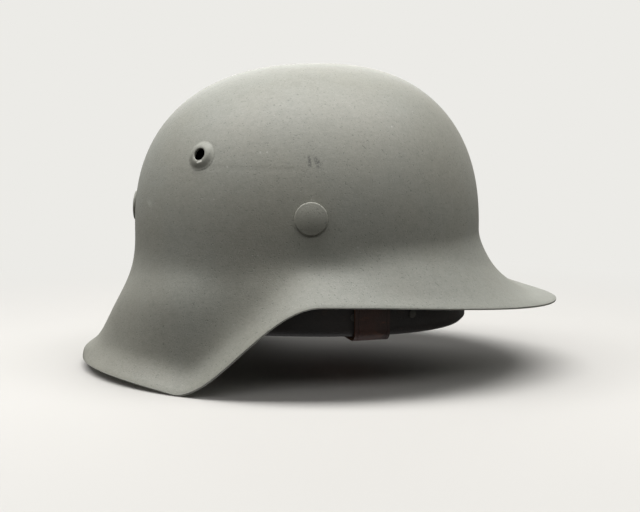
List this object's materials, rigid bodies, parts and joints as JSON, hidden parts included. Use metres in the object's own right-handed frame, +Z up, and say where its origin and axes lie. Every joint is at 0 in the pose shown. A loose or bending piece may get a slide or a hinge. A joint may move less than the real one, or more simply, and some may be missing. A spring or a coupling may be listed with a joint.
{
  "type": "steel helmet",
  "caption": "Pressed-steel combat helmet with a rounded dome, flared visor and neck guard, riveted leather liner on spring bands and a leather chin strap with a buckle.",
  "frame": {"origin": "ground level under the middle of the helmet's overall length, at the height of the neck guard's lowest edge", "axes": "+X towards the visor, +Y to the wearer's left, +Z up through the crown"},
  "size_m": [0.293, 0.226, 0.1833],
  "materials": {
    "field_grey_paint": "matte",
    "band_steel": "satin",
    "spring_steel": "satin",
    "dull_zinc": "satin",
    "black_enamel": "satin",
    "wool_felt": "matte",
    "liner_leather": "satin",
    "strap_leather": "satin"
  },
  "bodies": {
    "helmet": {"shell": "field_grey_paint", "split_rivets": "field_grey_paint", "outer_band": "band_steel", "spring_leaves": "spring_steel", "leaf_rivets": "dull_zinc", "inner_band": "band_steel", "felt_pad": "wool_felt", "leather_liner": "liner_leather", "liner_brads": "dull_zinc", "bail_lug_right": "dull_zinc", "bail_lug_left": "dull_zinc", "bail_lug_rivets": "dull_zinc"},
    "bail_right_body": {"bail_right": "dull_zinc"},
    "bail_left_body": {"bail_left": "dull_zinc"},
    "strap_right_body": {"strap_right": "strap_leather", "strap_right_stud": "dull_zinc"},
    "strap_left_body": {"strap_left": "strap_leather", "strap_left_stud": "dull_zinc"},
    "buckle": {"buckle_frame": "black_enamel"},
    "prong": {"buckle_prong": "black_enamel"}
  },
  "joints": [
    {"name": "bail_right_swing", "type": "hinge", "parent": "helmet", "child": "bail_right_body", "pos_m": [0.029, -0.0863, 0.0738], "axis": [-0.9641, -0.2655, 0], "range_deg": [0, 12]},
    {"name": "bail_left_swing", "type": "hinge", "parent": "helmet", "child": "bail_left_body", "pos_m": [0.029, 0.0863, 0.0738], "axis": [0.9641, -0.2655, 0], "range_deg": [0, 12]},
    {"name": "strap_right_swing", "type": "hinge", "parent": "bail_right_body", "child": "strap_right_body", "pos_m": [0.029, -0.0863, 0.0608], "axis": [-0.9641, -0.2655, 0], "range_deg": [0, 20]},
    {"name": "strap_left_swing", "type": "hinge", "parent": "bail_left_body", "child": "strap_left_body", "pos_m": [0.029, 0.0863, 0.0608], "axis": [0.9641, -0.2655, 0], "range_deg": [0, 20]},
    {"name": "buckle_swing", "type": "hinge", "parent": "strap_left_body", "child": "buckle", "pos_m": [0.01865, 0.0487, 0.0299], "axis": [-0.9641, 0.2655, 0], "range_deg": [-40, 20]},
    {"name": "prong_lift", "type": "hinge", "parent": "buckle", "child": "prong", "pos_m": [0.01865, 0.0487, 0.0299], "axis": [-0.9641, 0.2655, 0], "range_deg": [0, 80]}
  ]
}
